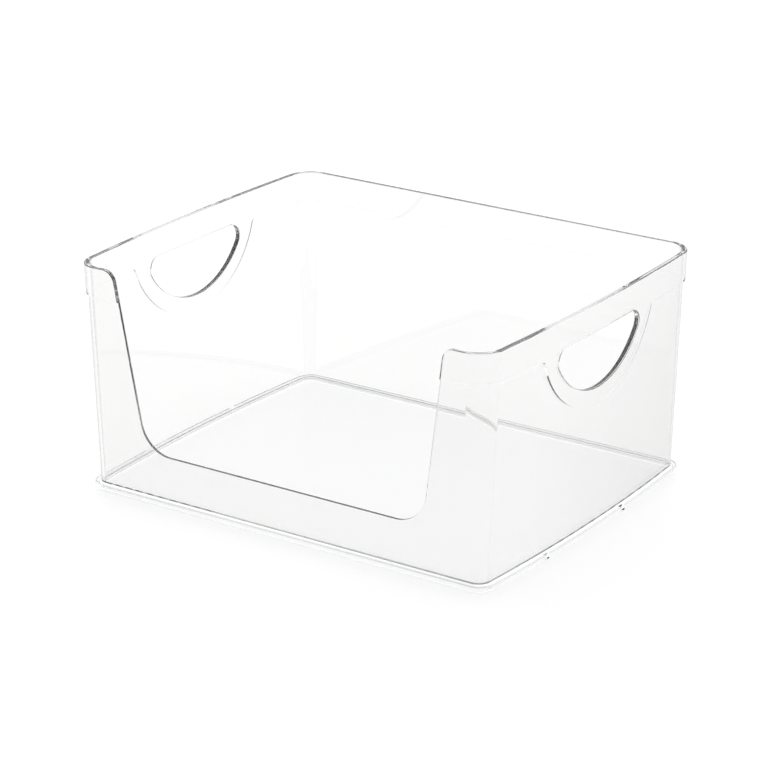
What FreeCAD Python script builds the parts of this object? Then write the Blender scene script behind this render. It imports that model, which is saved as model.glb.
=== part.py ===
import FreeCAD, Part
import Sketcher
import math
import os

# A clear open-front fridge bin, made as two mouldings: a wall shell that stands in a groove of
# a flanged base tray.  Millimetres, +Z up, front towards -Y, origin at the centre of the
# resting face.
#
# Every level outline is a rectangle with round corners whose left and right sides are shallow
# arcs that bow outwards.  The walls follow one outline at the foot and a larger, rounder one
# at the rim.

SIZES = {
    # outline over the rim band
    "rim_width": 305.0,        # across the middle of the sides
    "rim_depth": 241.4,
    "rim_radius": 17.5,
    "rim_side_radius": 1650.0,
    "bin_height": 148.4,
    # wall shell
    "wall_thickness": 2.2,
    "band_height": 19.6,
    "band_step": 1.3,          # how far the band stands out from the wall
    "edge_round": 0.8,
    # front opening
    "lip_height": 33.6,
    "opening_top": 235.6,
    "opening_bottom": 200.2,
    "opening_fillet": 21.6,
    "wing_fillet": 7.8,
    "opening_overrun": 10.0,   # how far the cut runs on above the rim
    # hand grips: an arc centred at rim height, closed by a flat top
    "grip_radius": 54.0,
    "grip_drop": 18.2,         # from the rim down to the flat top of the hole
    "grip_corner": 7.8,
    "grip_border": 11.0,       # width of the raised border around the hole
    "border_flare": 4.0,       # round corner between the border and the band
    "step_overrun": 20.0,      # how far the cut below the band runs past the walls
    # base tray
    "flange_width": 301.2,     # across the middle of the sides
    "flange_depth": 234.6,
    "flange_radius": 12.0,
    "flange_side_radius": 1380.0,
    "flange_ledge": 3.9,       # how far the flange stands out beyond the foot of the walls
    "flange_underside": 1.2,   # above the surface that the bin stands on
    "flange_round": 1.0,
    "floor_top": 5.3,
    "floor_thickness": 2.8,
    "foot_inset": 2.2,
    "foot_width": 4.0,
    "foot_round": 0.5,
    "seat_depth": 1.0,         # groove that the walls stand in
    "seat_gap": 0.15,
    "notch_width": 5.0,
    "notch_depth": 2.4,
    "notch_overrun": 1.0,
    "notch_front": -54.0,      # places of the two notches along each side
    "notch_back": 34.0,
}

EDGE_TOLERANCE = 0.01
SHARP_ANGLE = 0.5              # radians between the two faces of a sharp edge
HOLE_VOLUME = 1.0              # the least volume that a cut has to take away

doc = FreeCAD.newDocument("fridge_bin")
sheet = doc.addObject("Spreadsheet::Sheet", "sizes")
for row, (alias, number) in enumerate(SIZES.items(), start=1):
    sheet.set(f"A{row}", alias)
    sheet.set(f"B{row}", str(number))
    sheet.setAlias(f"B{row}", alias)
doc.recompute()


# ------------------------------------------------------------------------------ outlines
# An outline is four expressions: half width at the middle of the sides, half depth, corner
# radius and side radius.  All four change by the same length from one outline to a parallel one.

def offset(shape, distance):
    """The parallel outline that lies outside another one by a distance."""
    return tuple(f"({length} + ({distance}))" for length in shape)


BAND_BOTTOM = "(sizes.bin_height - sizes.band_height)"
WALL_BOTTOM = "(sizes.floor_top - sizes.seat_depth)"
RIM = ("sizes.rim_width / 2", "sizes.rim_depth / 2", "sizes.rim_radius", "sizes.rim_side_radius")
FLANGE = ("sizes.flange_width / 2", "sizes.flange_depth / 2", "sizes.flange_radius",
          "sizes.flange_side_radius")
WALL_RIM = offset(RIM, "-sizes.band_step")
INNER_RIM = offset(WALL_RIM, "-sizes.wall_thickness")
WALL_FOOT = offset(FLANGE, "-sizes.flange_ledge")
INNER_FOOT = offset(WALL_FOOT, "-sizes.wall_thickness")
THICK_FOOT = offset(WALL_FOOT, "sizes.band_step")
SEAT_OUTSIDE = offset(WALL_FOOT, "sizes.seat_gap")
SEAT_INSIDE = offset(INNER_FOOT, "-sizes.seat_gap")
FOOT = offset(FLANGE, "-sizes.foot_inset")
UNDERSIDE = offset(FOOT, "-sizes.foot_width")


def value(expression):
    """The number that a sheet expression gives."""
    result = sheet.evalExpression(expression.replace("sizes.", ""))
    return float(getattr(result, "Value", result))


def origin_plane(body, role):
    """One of a body's own origin planes."""
    return [item for item in body.Origin.OriginFeatures if item.Role == role][0]


def new_body(label):
    body = doc.addObject("PartDesign::Body", label)
    body.Label = label
    return body


def new_sketch(body, name, role):
    sketch = body.newObject("Sketcher::SketchObject", name)
    sketch.AttachmentSupport = [(origin_plane(body, role), "")]
    sketch.MapMode = "FlatFace"
    return sketch


def relate(sketch, *terms):
    """Add a constraint that has no dimension."""
    sketch.addConstraint(Sketcher.Constraint(*terms))


def bind(sketch, name, terms, expression):
    """Add a named dimension and drive it from the sheet."""
    sketch.addConstraint(Sketcher.Constraint(*terms, value(expression)))
    sketch.renameConstraint(sketch.ConstraintCount - 1, name)
    sketch.setExpression(f"Constraints.{name}", expression)


def line(sketch, start, end):
    return sketch.addGeometry(Part.LineSegment(FreeCAD.Vector(*start, 0), FreeCAD.Vector(*end, 0)))


def arc(sketch, centre, radius, from_angle, to_angle):
    """A counter-clockwise arc between two angles in radians."""
    circle = Part.Circle(FreeCAD.Vector(*centre, 0), FreeCAD.Vector(0, 0, 1), radius)
    return sketch.addGeometry(Part.ArcOfCircle(circle, from_angle, to_angle))


# the points of a sketch element, and the sketch's own origin and axes
START, END, MIDDLE = 1, 2, 3
ORIGIN = (-1, START)
X_AXIS = -1
Y_AXIS = -2


def outline(body, name, shape, height):
    """A level outline about the origin: front and back lines, bowed sides and round corners."""
    sketch = new_sketch(body, name, "XY_Plane")
    sketch.setExpression("AttachmentOffset.Base.z", height)
    half_width, half_depth, radius, side_radius = (value(length) for length in shape)
    side_centre = side_radius - half_width
    y = half_depth - radius
    x = math.sqrt((side_radius - radius) ** 2 - y ** 2) - side_centre
    turn = math.atan2(y, x + side_centre)
    quarter = math.pi / 2
    right = arc(sketch, (-side_centre, 0), side_radius, -turn, turn)
    back_right = arc(sketch, (x, y), radius, turn, quarter)
    back = line(sketch, (x, half_depth), (-x, half_depth))
    back_left = arc(sketch, (-x, y), radius, quarter, 2 * quarter - turn)
    left = arc(sketch, (side_centre, 0), side_radius, 2 * quarter - turn, 2 * quarter + turn)
    front_left = arc(sketch, (-x, -y), radius, 2 * quarter + turn, 3 * quarter)
    front = line(sketch, (-x, -half_depth), (x, -half_depth))
    front_right = arc(sketch, (x, -y), radius, 3 * quarter, 4 * quarter - turn)
    around = [right, back_right, back, back_left, left, front_left, front, front_right]
    for index, item in enumerate(around):
        relate(sketch, "Tangent", item, END, around[(index + 1) % len(around)], START)
    for corner in (back_left, front_left, front_right):
        relate(sketch, "Equal", back_right, corner)
    relate(sketch, "Equal", right, left)
    relate(sketch, "Symmetric", back, START, back, END, Y_AXIS)
    relate(sketch, "Symmetric", front, START, front, END, Y_AXIS)
    relate(sketch, "Symmetric", back, START, front, END, X_AXIS)
    bind(sketch, "half_depth", ("DistanceY", *ORIGIN, back, START), shape[1])
    bind(sketch, "corner_radius", ("Radius", back_right), shape[2])
    bind(sketch, "side_radius", ("Radius", right), shape[3])
    bind(sketch, "side_centre", ("DistanceX", *ORIGIN, left, MIDDLE), f"{shape[3]} - {shape[0]}")
    return sketch


# ------------------------------------------------------------------------------ features

def loft(body, kind, name, lower, upper):
    feature = body.newObject(f"PartDesign::{kind}", name)
    feature.Profile = lower
    feature.Sections = [upper]
    feature.Ruled = True
    doc.recompute()
    return feature


def pad(body, name, sketch, length):
    feature = body.newObject("PartDesign::Pad", name)
    feature.Profile = sketch
    feature.setExpression("Length", length)
    doc.recompute()
    return feature


def pocket(body, name, sketch, length=None, **settings):
    """A pocket, which has to take material away."""
    before = body.Shape.Volume
    feature = body.newObject("PartDesign::Pocket", name)
    feature.Profile = sketch
    for setting, choice in settings.items():
        setattr(feature, setting, choice)
    if length:
        feature.setExpression("Length", length)
    doc.recompute()
    if feature.Shape.Volume > before - HOLE_VOLUME:
        raise RuntimeError(f"{name} cuts nothing")
    return feature


def mirror(body, name, feature):
    """Repeat a feature on the other side of the YZ plane."""
    mirrored = body.newObject("PartDesign::Mirrored", name)
    mirrored.Originals = [feature]
    mirrored.MirrorPlane = (origin_plane(body, "YZ_Plane"), [""])
    body.Tip = mirrored
    doc.recompute()
    return mirrored


def middle(edge):
    return edge.valueAt((edge.FirstParameter + edge.LastParameter) / 2)


def is_sharp(shape, edge):
    """True where the two faces along an edge meet at an angle."""
    point = middle(edge)
    normals = []
    for face in shape.ancestorsOfType(edge, Part.Face):
        u, v = face.Surface.parameter(point)
        normals.append(face.normalAt(u, v))
    return len(normals) == 2 and normals[0].getAngle(normals[1]) > SHARP_ANGLE


def fillet(body, name, chosen, radius):
    """Round the sharp edges of the body's tip that chosen(edge) accepts."""
    base = body.Tip
    names = [f"Edge{number}" for number, edge in enumerate(base.Shape.Edges, start=1)
             if chosen(edge) and is_sharp(base.Shape, edge)]
    feature = body.newObject("PartDesign::Fillet", name)
    feature.Base = (base, names)
    feature.setExpression("Radius", radius)
    doc.recompute()
    return feature


def level(edge, height):
    """True where the whole edge lies at one height."""
    box = edge.BoundBox
    return max(abs(box.ZMin - height), abs(box.ZMax - height)) < EDGE_TOLERANCE


def lies_on(point, shape):
    return shape.distToShape(Part.Vertex(point))[0] < EDGE_TOLERANCE


# ---------------------------------------------------------------------------- wall shell

def opening_sketch(body):
    """The front cut-out: sides that spread upwards, round bottom corners, open at the rim."""
    sketch = new_sketch(body, "opening_outline", "XZ_Plane")
    low, high = value("sizes.lip_height"), value("sizes.bin_height")
    half_low, half_high = value("sizes.opening_bottom / 2"), value("sizes.opening_top / 2")
    over = high + value("sizes.opening_overrun")
    wing = value("sizes.wing_fillet")
    bend = value("sizes.opening_fillet")
    slope = (half_high - half_low) / (high - low)
    side_low = half_low + slope * bend
    side_high = half_high - slope * wing
    outer = half_high + wing
    quarter = math.pi / 2
    bottom = line(sketch, (-half_low + bend, low), (half_low - bend, low))
    top = line(sketch, (outer, over), (-outer, over))
    right = line(sketch, (side_low, low + bend), (side_high, high - wing))
    left = line(sketch, (-side_low, low + bend), (-side_high, high - wing))
    right_post = line(sketch, (outer, high), (outer, over))
    left_post = line(sketch, (-outer, high), (-outer, over))
    low_right = arc(sketch, (half_low - bend, low + bend), bend, 3 * quarter, 4 * quarter)
    low_left = arc(sketch, (bend - half_low, low + bend), bend, 2 * quarter, 3 * quarter)
    wing_right = arc(sketch, (outer, high - wing), wing, quarter, 2 * quarter)
    wing_left = arc(sketch, (-outer, high - wing), wing, 0, quarter)
    relate(sketch, "Tangent", bottom, END, low_right, START)
    relate(sketch, "Tangent", bottom, START, low_left, END)
    relate(sketch, "Tangent", low_right, END, right, START)
    relate(sketch, "Tangent", low_left, START, left, START)
    relate(sketch, "Tangent", right, END, wing_right, END)
    relate(sketch, "Tangent", left, END, wing_left, START)
    relate(sketch, "Coincident", wing_right, START, right_post, START)
    relate(sketch, "Coincident", wing_left, END, left_post, START)
    relate(sketch, "Coincident", right_post, END, top, START)
    relate(sketch, "Coincident", left_post, END, top, END)
    relate(sketch, "Vertical", right_post)
    relate(sketch, "Vertical", left_post)
    # each wing's round corner ends level with the rim
    relate(sketch, "Vertical", wing_right, MIDDLE, wing_right, START)
    relate(sketch, "Vertical", wing_left, MIDDLE, wing_left, END)
    relate(sketch, "Horizontal", top)
    relate(sketch, "Equal", low_right, low_left)
    relate(sketch, "Equal", wing_right, wing_left)
    relate(sketch, "Symmetric", bottom, START, bottom, END, Y_AXIS)
    relate(sketch, "Symmetric", wing_right, MIDDLE, wing_left, MIDDLE, Y_AXIS)
    spread = "(sizes.opening_top - sizes.opening_bottom) / 2"
    rise = "(sizes.bin_height - sizes.lip_height)"
    bind(sketch, "lip", ("DistanceY", *ORIGIN, bottom, START), "sizes.lip_height")
    bind(sketch, "bottom_fillet", ("Radius", low_right), "sizes.opening_fillet")
    bind(sketch, "top_fillet", ("Radius", wing_right), "sizes.wing_fillet")
    bind(sketch, "rim", ("DistanceY", *ORIGIN, right_post, START), "sizes.bin_height")
    bind(sketch, "above", ("DistanceY", right_post, START, right_post, END),
         "sizes.opening_overrun")
    bind(sketch, "reach", ("DistanceX", *ORIGIN, right_post, START),
         "sizes.opening_top / 2 + sizes.wing_fillet")
    sketch.addConstraint(Sketcher.Constraint("Angle", X_AXIS, START, right, START,
                                             math.atan2(high - low, half_high - half_low)))
    sketch.renameConstraint(sketch.ConstraintCount - 1, "slope")
    sketch.setExpression("Constraints.slope", f"90 deg - atan({spread} / {rise})")
    return sketch


def grip_sketch(body):
    """The finger hole: an arc centred at rim height, closed by a flat top with round corners."""
    sketch = new_sketch(body, "grip_outline", "YZ_Plane")
    centre_z, radius = value("sizes.bin_height"), value("sizes.grip_radius")
    flat_z = value("sizes.bin_height - sizes.grip_drop")
    corner = value("sizes.grip_corner")
    corner_z = flat_z - corner
    corner_y = math.sqrt((radius - corner) ** 2 - (centre_z - corner_z) ** 2)
    dip = math.atan2(centre_z - corner_z, corner_y)
    big = arc(sketch, (0, centre_z), radius, math.pi + dip, 2 * math.pi - dip)
    right = arc(sketch, (corner_y, corner_z), corner, -dip, math.pi / 2)
    left = arc(sketch, (-corner_y, corner_z), corner, math.pi / 2, math.pi + dip)
    top = line(sketch, (corner_y, flat_z), (-corner_y, flat_z))
    relate(sketch, "Tangent", big, END, right, START)
    relate(sketch, "Tangent", right, END, top, START)
    relate(sketch, "Tangent", top, END, left, START)
    relate(sketch, "Tangent", left, END, big, START)
    relate(sketch, "Horizontal", top)
    relate(sketch, "Equal", right, left)
    relate(sketch, "PointOnObject", big, MIDDLE, Y_AXIS)
    bind(sketch, "centre", ("DistanceY", *ORIGIN, big, MIDDLE), "sizes.bin_height")
    bind(sketch, "radius", ("Radius", big), "sizes.grip_radius")
    bind(sketch, "corner", ("Radius", right), "sizes.grip_corner")
    bind(sketch, "flat", ("DistanceY", *ORIGIN, top, START), "sizes.bin_height - sizes.grip_drop")
    return sketch


def step_sketch(body):
    """All below the band but the grip border, whose arc flares into the band's lower edge."""
    sketch = new_sketch(body, "step_outline", "YZ_Plane")
    centre_z, band_z = value("sizes.bin_height"), value(BAND_BOTTOM)
    radius = value("sizes.grip_radius + sizes.grip_border")
    flare = value("sizes.border_flare")
    flare_z = band_z - flare
    flare_y = math.sqrt((radius + flare) ** 2 - (centre_z - flare_z) ** 2)
    dip = math.atan2(centre_z - flare_z, flare_y)
    far_y = value("sizes.rim_depth / 2 + sizes.step_overrun")
    low_z = -value("sizes.step_overrun")
    big = arc(sketch, (0, centre_z), radius, math.pi + dip, 2 * math.pi - dip)
    flare_right = arc(sketch, (flare_y, flare_z), flare, math.pi / 2, math.pi - dip)
    flare_left = arc(sketch, (-flare_y, flare_z), flare, dip, math.pi / 2)
    band_right = line(sketch, (flare_y, band_z), (far_y, band_z))
    band_left = line(sketch, (-flare_y, band_z), (-far_y, band_z))
    right = line(sketch, (far_y, band_z), (far_y, low_z))
    left = line(sketch, (-far_y, band_z), (-far_y, low_z))
    bottom = line(sketch, (-far_y, low_z), (far_y, low_z))
    relate(sketch, "Tangent", big, END, flare_right, END)
    relate(sketch, "Tangent", big, START, flare_left, START)
    relate(sketch, "Tangent", flare_right, START, band_right, START)
    relate(sketch, "Tangent", flare_left, END, band_left, START)
    relate(sketch, "Coincident", band_right, END, right, START)
    relate(sketch, "Coincident", band_left, END, left, START)
    relate(sketch, "Coincident", right, END, bottom, END)
    relate(sketch, "Coincident", left, END, bottom, START)
    relate(sketch, "Horizontal", band_right)
    relate(sketch, "Horizontal", band_left)
    relate(sketch, "Horizontal", bottom)
    relate(sketch, "Vertical", right)
    relate(sketch, "Vertical", left)
    relate(sketch, "Equal", flare_right, flare_left)
    relate(sketch, "PointOnObject", big, MIDDLE, Y_AXIS)
    relate(sketch, "Symmetric", band_right, END, band_left, END, Y_AXIS)
    bind(sketch, "centre", ("DistanceY", *ORIGIN, big, MIDDLE), "sizes.bin_height")
    bind(sketch, "radius", ("Radius", big), "sizes.grip_radius + sizes.grip_border")
    bind(sketch, "flare", ("Radius", flare_right), "sizes.border_flare")
    bind(sketch, "band", ("DistanceY", *ORIGIN, band_right, START), BAND_BOTTOM)
    bind(sketch, "side", ("DistanceX", *ORIGIN, right, END),
         "sizes.rim_depth / 2 + sizes.step_overrun")
    bind(sketch, "low", ("DistanceY", right, END, *ORIGIN), "sizes.step_overrun")
    return sketch


def wall_shell():
    """Four walls, the thicker rim band, the grip borders, the front opening and the grip holes."""
    body = new_body("wall_shell")
    loft(body, "AdditiveLoft", "thick_walls",
         outline(body, "thick_foot", THICK_FOOT, WALL_BOTTOM),
         outline(body, "thick_rim", RIM, "sizes.bin_height"))
    pocket(body, "below_band", step_sketch(body), Type="ThroughAll", Midplane=True)
    loft(body, "AdditiveLoft", "walls",
         outline(body, "wall_foot", WALL_FOOT, WALL_BOTTOM),
         outline(body, "wall_rim", WALL_RIM, "sizes.bin_height"))
    loft(body, "SubtractiveLoft", "inside",
         outline(body, "inner_foot", INNER_FOOT, WALL_BOTTOM),
         outline(body, "inner_rim", INNER_RIM, "sizes.bin_height"))
    opening = opening_sketch(body)
    pocket(body, "front_opening", opening, Type="ThroughAll", Reversed=True)
    grip = grip_sketch(body)
    pocket(body, "grips", grip, Type="ThroughAll", Midplane=True)

    def on_cut(edge):
        """The edges of the rim, the grip holes and the front opening, but not the band's step."""
        point = middle(edge)
        if level(edge, value("sizes.bin_height")):
            return True
        if lies_on(FreeCAD.Vector(0, point.y, point.z), grip.Shape):
            return True
        at_front = point.y < 0 and lies_on(FreeCAD.Vector(point.x, 0, point.z), opening.Shape)
        return at_front and not level(edge, value(BAND_BOTTOM))

    fillet(body, "cut_edges", on_cut, "sizes.edge_round")
    return body


# ----------------------------------------------------------------------------- base tray

def notch_sketch(body):
    """Two short slots that cut into the flange on the right-hand side."""
    sketch = new_sketch(body, "notch_outline", "XY_Plane")
    sketch.setExpression("AttachmentOffset.Base.z", "sizes.floor_top")
    left = value("sizes.flange_width / 2 - sizes.notch_depth")
    right = value("sizes.flange_width / 2 + sizes.notch_overrun")
    width = value("sizes.notch_width")
    for place in ("notch_front", "notch_back"):
        low_y = value(f"sizes.{place}") - width / 2
        corners = [(left, low_y), (right, low_y), (right, low_y + width), (left, low_y + width)]
        sides = [line(sketch, corners[index], corners[(index + 1) % 4]) for index in range(4)]
        for index, side in enumerate(sides):
            relate(sketch, "Coincident", side, END, sides[(index + 1) % 4], START)
            relate(sketch, "Vertical" if index % 2 else "Horizontal", side)
        bind(sketch, f"{place}_x", ("DistanceX", *ORIGIN, sides[0], START),
             "sizes.flange_width / 2 - sizes.notch_depth")
        bind(sketch, f"{place}_depth", ("DistanceX", sides[0], START, sides[0], END),
             "sizes.notch_depth + sizes.notch_overrun")
        bind(sketch, f"{place}_width", ("DistanceY", sides[1], START, sides[1], END),
             "sizes.notch_width")
        bind(sketch, f"{place}_y", ("DistanceY", *ORIGIN, sides[0], START),
             f"sizes.{place} - sizes.notch_width / 2")
    return sketch


def base_tray():
    """The floor and its round-edged flange, on a ring foot, with the groove for the walls."""
    body = new_body("base_tray")
    foot = outline(body, "foot_outline", FOOT, "0")
    pad(body, "foot", foot, "sizes.flange_underside")
    flange = outline(body, "flange_outline", FLANGE, "sizes.flange_underside")
    pad(body, "plate", flange, "sizes.floor_top - sizes.flange_underside")
    pocket(body, "underside", outline(body, "underside_outline", UNDERSIDE, "0"),
           length="sizes.floor_top - sizes.floor_thickness", Reversed=True)
    pocket(body, "seat", outline(body, "seat_outside", SEAT_OUTSIDE, "sizes.floor_top"),
           length="sizes.seat_depth")
    pad(body, "floor_inside_seat", outline(body, "seat_inside", SEAT_INSIDE, WALL_BOTTOM),
        "sizes.seat_depth")

    def on_flange(edge):
        """The outer edges of the flange, above and below."""
        point = middle(edge)
        under = FreeCAD.Vector(point.x, point.y, value("sizes.flange_underside"))
        at_level = level(edge, under.z) or level(edge, value("sizes.floor_top"))
        return at_level and lies_on(under, flange.Shape)

    def on_foot(edge):
        """The outer edge that the tray stands on."""
        return level(edge, 0.0) and lies_on(middle(edge), foot.Shape)

    fillet(body, "flange_edges", on_flange, "sizes.flange_round")
    fillet(body, "foot_edges", on_foot, "sizes.foot_round")
    notches = pocket(body, "notches", notch_sketch(body), Type="ThroughAll")
    mirror(body, "notches_both_sides", notches)
    return body


# -------------------------------------------------------------------------------- output

def check(pieces):
    """Stop if any feature failed or any piece is empty or invalid."""
    doc.recompute()
    for item in doc.Objects:
        if "Invalid" in item.State or "Error" in item.State:
            raise RuntimeError(f"{item.Label} failed: {item.State}")
    for piece in pieces:
        if piece.Shape.isNull() or not piece.Shape.isValid() or len(piece.Shape.Solids) != 1:
            raise RuntimeError(f"{piece.Label} isn't one valid solid")


pieces = [wall_shell(), base_tray()]
check(pieces)
os.makedirs("parts", exist_ok=True)
for piece in pieces:
    piece.Shape.exportStep(f"parts/{piece.Label}.step")
    print(piece.Label, "volume", round(piece.Shape.Volume), "mm3")
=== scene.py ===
import math
import bmesh
import bpy
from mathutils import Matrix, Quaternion, Vector


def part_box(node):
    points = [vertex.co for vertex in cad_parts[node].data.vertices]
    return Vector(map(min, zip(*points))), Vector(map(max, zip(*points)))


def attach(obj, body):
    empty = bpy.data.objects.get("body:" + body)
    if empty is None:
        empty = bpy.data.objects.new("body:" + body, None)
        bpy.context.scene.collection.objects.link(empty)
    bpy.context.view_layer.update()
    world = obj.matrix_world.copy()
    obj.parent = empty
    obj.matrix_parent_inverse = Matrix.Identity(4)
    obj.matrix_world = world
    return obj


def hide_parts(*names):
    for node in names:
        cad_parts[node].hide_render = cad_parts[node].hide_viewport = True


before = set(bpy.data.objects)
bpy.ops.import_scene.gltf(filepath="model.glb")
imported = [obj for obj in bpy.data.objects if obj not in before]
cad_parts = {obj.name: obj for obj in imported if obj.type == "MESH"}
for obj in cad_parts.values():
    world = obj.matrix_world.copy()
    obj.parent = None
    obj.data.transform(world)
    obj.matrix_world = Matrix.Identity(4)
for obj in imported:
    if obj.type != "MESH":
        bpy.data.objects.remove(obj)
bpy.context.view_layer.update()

scene = bpy.context.scene
scene.view_settings.view_transform = "Standard"

# Light in the clear plastic is turned back many times before it gets out at an edge.
scene.cycles.max_bounces = 64
scene.cycles.transmission_bounces = 64
scene.cycles.glossy_bounces = 64
scene.cycles.caustics_reflective = True
scene.cycles.caustics_refractive = True

WHITE = (1, 1, 1, 1)

# Tint of the plastic seen straight on, and the painted edge shade that darkens it where it turns
# edge-on.
PLASTIC_IOR = 1.57
WALL_TINT = (0.95, 0.949, 0.947)
TRAY_TINT = (0.997, 1, 0.999)
# painted shade: a grey colour for the flange's rounded edge and the side of its foot
RIB_PAINTED_SHADE = (0.62, 0.66, 0.66)
WALL_EDGE_PAINTED_SHADE = (0.15, 0.15, 0.15)
TRAY_EDGE_PAINTED_SHADE = (0.08, 0.1, 0.1)
WALL_TURN = 0.5                    # Layer Weight facing value where the painted edge shade begins
TRAY_TURN = 0.7
RIB_TURN = 0.5

# Places of the colour sockets of a Mix node set to colours.
MIX_FACTOR = 0
MIX_FIRST = 6
MIX_SECOND = 7
MIX_RESULT = 2

SHARP_ANGLE = math.radians(35)     # edges turned more than this keep their crease
MERGE_DISTANCE = 1e-6


# ------------------------------------------------------------------------------ materials

def principled(name):
    """A new material and its Principled shader."""
    material = bpy.data.materials.new(name)
    material.use_nodes = True
    return material, material.node_tree.nodes["Principled BSDF"]


def noise(tree, scale, detail, stretch=(1, 1, 1)):
    """Noise in the object's own metres, stretched along its axes."""
    place = tree.nodes.new("ShaderNodeTexCoord")
    mapping = tree.nodes.new("ShaderNodeMapping")
    mapping.inputs["Scale"].default_value = stretch
    texture = tree.nodes.new("ShaderNodeTexNoise")
    texture.inputs["Scale"].default_value = scale
    texture.inputs["Detail"].default_value = detail
    tree.links.new(place.outputs["Object"], mapping.inputs["Vector"])
    tree.links.new(mapping.outputs["Vector"], texture.inputs["Vector"])
    return texture.outputs["Fac"]


def between(tree, source, low, high, start=0.35, end=0.65):
    """Map a value that runs from start to end onto the range from low to high."""
    node = tree.nodes.new("ShaderNodeMapRange")
    node.inputs["From Min"].default_value = start
    node.inputs["From Max"].default_value = end
    node.inputs["To Min"].default_value = low
    node.inputs["To Max"].default_value = high
    tree.links.new(source, node.inputs["Value"])
    return node.outputs["Result"]


def bump(tree, height, distance, normal=None):
    """A bump normal from a height, on top of another normal where one is given."""
    node = tree.nodes.new("ShaderNodeBump")
    node.inputs["Distance"].default_value = distance
    tree.links.new(height, node.inputs["Height"])
    if normal:
        tree.links.new(normal, node.inputs["Normal"])
    return node.outputs["Normal"]


def tint_with_painted_edge_shade(tree, tint, edge, turn):
    """The tint of clear plastic, with painted shade deepening it to the edge colour where it
    turns edge-on.
    """
    weight = tree.nodes.new("ShaderNodeLayerWeight")
    weight.inputs["Blend"].default_value = 0.5
    share = between(tree, weight.outputs["Facing"], 0, 1, turn, 1)
    mix = tree.nodes.new("ShaderNodeMix")
    mix.data_type = "RGBA"
    mix.inputs[MIX_FIRST].default_value = (*tint, 1)
    mix.inputs[MIX_SECOND].default_value = (*edge, 1)
    tree.links.new(share, mix.inputs[MIX_FACTOR])
    return mix.outputs[MIX_RESULT]


def clear_plastic(name, tint, edge, turn):
    """Clear moulded plastic: painted shade where it turns edge-on, flow waves, a fine grain and
    patches of slightly duller polish.
    """
    material, shader = principled(name)
    tree = material.node_tree
    # painted shade: the base colour darkens towards the edge colour where the surface turns
    # edge-on
    tree.links.new(tint_with_painted_edge_shade(tree, tint, edge, turn), shader.inputs["Base Color"])
    shader.inputs["Transmission Weight"].default_value = 1
    shader.inputs["IOR"].default_value = PLASTIC_IOR
    polish = between(tree, noise(tree, 60, 4), 0.004, 0.03)
    tree.links.new(polish, shader.inputs["Roughness"])
    flow = bump(tree, noise(tree, 14, 1, (1, 1, 2.5)), 0.000006)
    grain = bump(tree, noise(tree, 900, 2), 0.0000004, flow)
    tree.links.new(grain, shader.inputs["Normal"])
    return material


def bond(name):
    """The welded faces of the seam: most light goes on unbent, and the weld scatters some."""
    material, shader = principled(name)
    shader.inputs["Base Color"].default_value = WHITE
    shader.inputs["Transmission Weight"].default_value = 0.8
    shader.inputs["IOR"].default_value = 1.0
    shader.inputs["Roughness"].default_value = 0
    shader.inputs["Specular IOR Level"].default_value = 0
    return material


# ------------------------------------------------------------------------------- surfaces
# A wall surface runs straight from a foot outline to a rim outline.  An outline is a half
# width, a half depth, a corner radius, a side radius and a height.

def outline(half_width, half_depth, radius, side_radius, height):
    return (half_width, half_depth, radius, side_radius, height)


def offset(shape, distance):
    """The outline moved outwards by a distance at the same height."""
    return tuple(length + distance for length in shape[:4]) + shape[4:]


def raised(shape, height):
    """The same outline at another height."""
    return shape[:4] + (height,)


# Sizes of the two mouldings, in metres.
WALL_THICKNESS = 0.0022
BAND_STEP = 0.0013                 # how far the rim band stands out from the wall
LEDGE = 0.0039                     # how far the flange stands out beyond the walls' foot
FOOT_INSET = 0.0022
SEAT_DEPTH = 0.001                 # groove that the walls stand in
SEAT_GAP = 0.00015
FLANGE_ROUND = 0.001
FLANGE_UNDERSIDE = 0.0012
FOOT_ROUND = 0.0005
wall_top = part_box("wall_shell")[1][2]
floor_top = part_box("base_tray")[1][2]
seat_floor = floor_top - SEAT_DEPTH
RIM = outline(0.1525, 0.1207, 0.0175, 1.65, wall_top)
FLANGE = outline(0.1506, 0.1173, 0.012, 1.38, seat_floor)
WALL_FOOT = offset(FLANGE, -LEDGE)
WALL_RIM = offset(RIM, -BAND_STEP)
FOOT = offset(FLANGE, -FOOT_INSET)
BAND_SURFACE = (offset(WALL_FOOT, BAND_STEP), RIM)
OUTER_SURFACE = (WALL_FOOT, WALL_RIM)
INNER_SURFACE = (offset(WALL_FOOT, -WALL_THICKNESS), offset(WALL_RIM, -WALL_THICKNESS))
FLANGE_SURFACE = (FLANGE, raised(FLANGE, floor_top))
FOOT_SURFACE = (FOOT, raised(FOOT, floor_top))
WALL_SURFACES = [BAND_SURFACE, OUTER_SURFACE, INNER_SURFACE]
TRAY_SURFACES = [FLANGE_SURFACE, FOOT_SURFACE]

TOUCH = 0.00002                    # how near two heights have to be to count as the same
ON_SURFACE = 0.00012               # how near a point has to be to count as on a surface
ALONG_SURFACE = math.radians(3)    # how near a face has to lie to a surface's direction
LEVEL = math.radians(0.2)
STEP = 0.00001                     # move that measures a surface's slope


def outside(point, surface):
    """How far a point lies outside a surface, measured level."""
    foot, rim = surface
    share = (point[2] - foot[4]) / (rim[4] - foot[4])
    half_width, half_depth, radius, side_radius = (
        low + (high - low) * share for low, high in zip(foot[:4], rim[:4]))
    x, y = abs(point[0]), abs(point[1])
    centre_y = half_depth - radius
    side_centre = side_radius - half_width
    centre_x = math.sqrt((side_radius - radius) ** 2 - centre_y ** 2) - side_centre
    if x < centre_x:
        return y - half_depth
    if y * (centre_x + side_centre) < centre_y * (x + side_centre):
        return math.hypot(x + side_centre, y) - side_radius
    return math.hypot(x - centre_x, y - centre_y) - radius


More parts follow.
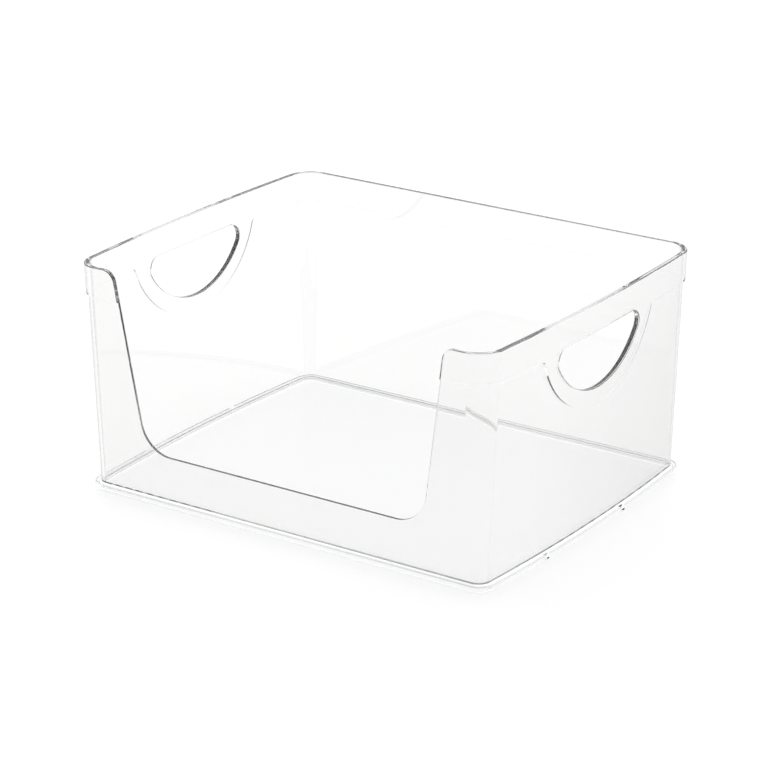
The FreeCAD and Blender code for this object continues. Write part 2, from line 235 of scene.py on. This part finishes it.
def slope(point, surface):
    """The outward normal of a surface at a point."""
    ahead = []
    for axis in range(3):
        shift = Vector((0, 0, 0))
        shift[axis] = STEP
        ahead.append(outside(point + shift, surface) - outside(point - shift, surface))
    return Vector(ahead).normalized()


def face_normals(face, surfaces):
    """The exact normal at each corner of a level face or of a face that lies in a surface."""
    up = Vector((0, 0, 1 if face.normal.z > 0 else -1))
    if face.normal.angle(up) < LEVEL:
        return [up] * len(face.verts)
    for surface in surfaces:
        if all(abs(outside(vert.co, surface)) < ON_SURFACE for vert in face.verts):
            middle = slope(face.calc_center_median(), surface)
            side = 1 if face.normal.dot(middle) > 0 else -1
            if face.normal.angle(middle * side) < ALONG_SURFACE:
                return [slope(vert.co, surface) * side for vert in face.verts]
    return []


def corner_normals(shape, surfaces):
    """One normal for each face corner: exact where a level face or a surface meets the vertex.

    A zero normal leaves that corner to Blender's own smooth shading."""
    known = {vert: [] for vert in shape.verts}
    for face in shape.faces:
        for vert, normal in zip(face.verts, face_normals(face, surfaces)):
            known[vert].append(normal)
    normals = []
    for face in shape.faces:
        for loop in face.loops:
            near = min(known[loop.vert], key=face.normal.angle, default=None)
            if near is None or face.normal.angle(near) > SHARP_ANGLE:
                near = Vector((0, 0, 0))
            normals.append(near)
    return normals


# --------------------------------------------------------------------------------- pieces

PLAIN, SEAM, RIB = range(3)        # numbers of the materials on a piece; RIB carries the painted grey shade
RIB_LEAST_TILT = 0.1               # upward part of the normal on the flange's rounded edge
RIB_MOST_TILT = 0.99


def in_seam(face):
    """True for a face below the tray's floor, as far in and out as the groove for the walls."""
    heights = [vert.co.z for vert in face.verts]
    places = [outside(vert.co, OUTER_SURFACE) for vert in face.verts]
    low_enough = min(heights) > seat_floor - TOUCH and max(heights) < floor_top + TOUCH
    level_top = min(heights) > floor_top - TOUCH
    near = max(places) < 2 * SEAT_GAP and min(places) > -WALL_THICKNESS - 2 * SEAT_GAP
    return low_enough and near and not level_top


def on_rib(face):
    """True for the rounded edge of the tray's flange and the side of its foot, which get painted
    grey shade.
    """
    centre = face.calc_center_median()
    tilted = RIB_LEAST_TILT < face.normal.z < RIB_MOST_TILT
    rounded = outside(centre, FLANGE_SURFACE) > -FLANGE_ROUND and tilted
    foot_side = outside(centre, FOOT_SURFACE) > -FOOT_ROUND and centre.z < FLANGE_UNDERSIDE
    return rounded or foot_side


def wall_material(face):
    """The number of a wall face's material."""
    return SEAM if in_seam(face) else PLAIN


def tray_material(face):
    """The number of a tray face's material."""
    if in_seam(face):
        return SEAM
    return RIB if on_rib(face) else PLAIN


def moulding(node, name, materials, choose, surfaces):
    """A smooth-shaded piece in a node's place; choose gives each face's material by number."""
    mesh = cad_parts[node].data.copy()
    mesh.name = name
    mesh.materials.clear()
    for material in materials:
        mesh.materials.append(material)
    shape = bmesh.new()
    shape.from_mesh(mesh)
    bmesh.ops.remove_doubles(shape, verts=shape.verts, dist=MERGE_DISTANCE)
    bmesh.ops.dissolve_degenerate(shape, edges=shape.edges, dist=MERGE_DISTANCE)
    everything = shape.verts[:] + shape.edges[:] + shape.faces[:]
    bmesh.ops.bisect_plane(shape, geom=everything, dist=MERGE_DISTANCE,
                           plane_co=(0, 0, floor_top), plane_no=(0, 0, 1))
    shape.normal_update()
    for edge in shape.edges:
        edge.smooth = len(edge.link_faces) == 2 and edge.calc_face_angle(0) < SHARP_ANGLE
    for face in shape.faces:
        face.smooth = True
        face.material_index = choose(face)
    normals = corner_normals(shape, surfaces)
    shape.to_mesh(mesh)
    shape.free()
    mesh.normals_split_custom_set(normals)
    piece = bpy.data.objects.new(name, mesh)
    scene.collection.objects.link(piece)
    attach(piece, "root")
    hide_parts(node)


seam = bond("seam_bond")
wall_plastic = clear_plastic("clear_wall", WALL_TINT, WALL_EDGE_PAINTED_SHADE, WALL_TURN)
tray_plastic = clear_plastic("clear_base", TRAY_TINT, TRAY_EDGE_PAINTED_SHADE, TRAY_TURN)
# the flange's rounded edge and foot side get painted grey shade
painted_shade_rib_plastic = clear_plastic("clear_base_rib_painted_shade", RIB_PAINTED_SHADE, TRAY_EDGE_PAINTED_SHADE, RIB_TURN)
moulding("wall_shell", "wall_shell_clear", [wall_plastic, seam],
         wall_material, WALL_SURFACES)
moulding("base_tray", "base_tray_clear", [tray_plastic, seam, painted_shade_rib_plastic],
         tray_material, TRAY_SURFACES)

# --------------------------------------------------------------------------------- camera
CAMERA_AZIMUTH = math.radians(34.18)       # from the front towards +X
CAMERA_ELEVATION = math.radians(20.765)
CAMERA_ROLL = math.radians(-0.09)
CAMERA_DISTANCE = 1.8759
AIM_HEIGHT = 0.06369
AIM_SHIFT = 0.002215                       # to the left in the picture
LENS = 141.59                              # millimetres
SENSOR = 36

level_away = Vector((math.sin(CAMERA_AZIMUTH), -math.cos(CAMERA_AZIMUTH), 0))
away = level_away * math.cos(CAMERA_ELEVATION) + Vector((0, 0, math.sin(CAMERA_ELEVATION)))
right = Vector((math.cos(CAMERA_AZIMUTH), math.sin(CAMERA_AZIMUTH), 0))
lens = bpy.data.cameras.new("camera")
lens.lens = LENS
lens.sensor_width = SENSOR
lens.clip_start = 0.05
camera = bpy.data.objects.new("camera", lens)
scene.collection.objects.link(camera)
scene.camera = camera
camera.location = Vector((0, 0, AIM_HEIGHT)) - right * AIM_SHIFT + away * CAMERA_DISTANCE
camera.rotation_mode = "QUATERNION"
camera.rotation_quaternion = (-away).to_track_quat("-Z", "Y") @ Quaternion((0, 0, 1), CAMERA_ROLL)

# ---------------------------------------------------------------------------------- stage
FLOOR_SIZE = 6
FLOOR_COLOR = (0.3, 0.3, 0.3, 1)
FLOOR_GLOW = 0.83
ROOM_BRIGHT = 1.05                         # strength of the room behind the bin
ROOM_DIM = 0.2                             # strength on the side that the bin faces
ROOM_FADE = 0.5                            # how far round the change between them reaches

# a pale, evenly lit tabletop
bpy.ops.mesh.primitive_plane_add(size=FLOOR_SIZE, location=(0, 0, 0))
floor = bpy.context.object
floor.name = "floor"
paint, shader = principled("floor")
shader.inputs["Roughness"].default_value = 0.22
shader.inputs["Base Color"].default_value = FLOOR_COLOR
shader.inputs["Specular IOR Level"].default_value = 0.05
shader.inputs["Emission Color"].default_value = WHITE
shader.inputs["Emission Strength"].default_value = FLOOR_GLOW
tree = paint.node_tree
tree.links.new(bump(tree, noise(tree, 400, 3), 0.000002), shader.inputs["Normal"])
floor.data.materials.append(paint)

# a soft white room that is bright behind the bin and dim in front of it
world = bpy.data.worlds.new("studio")
scene.world = world
world.use_nodes = True
tree = world.node_tree
background = tree.nodes["Background"]
background.inputs["Color"].default_value = WHITE
place = tree.nodes.new("ShaderNodeTexCoord")
facing = tree.nodes.new("ShaderNodeVectorMath")
facing.operation = "DOT_PRODUCT"
facing.inputs[1].default_value = level_away
tree.links.new(place.outputs["Generated"], facing.inputs[0])
strength = between(tree, facing.outputs["Value"], ROOM_BRIGHT, ROOM_DIM, -ROOM_FADE, ROOM_FADE)
tree.links.new(strength, background.inputs["Strength"])
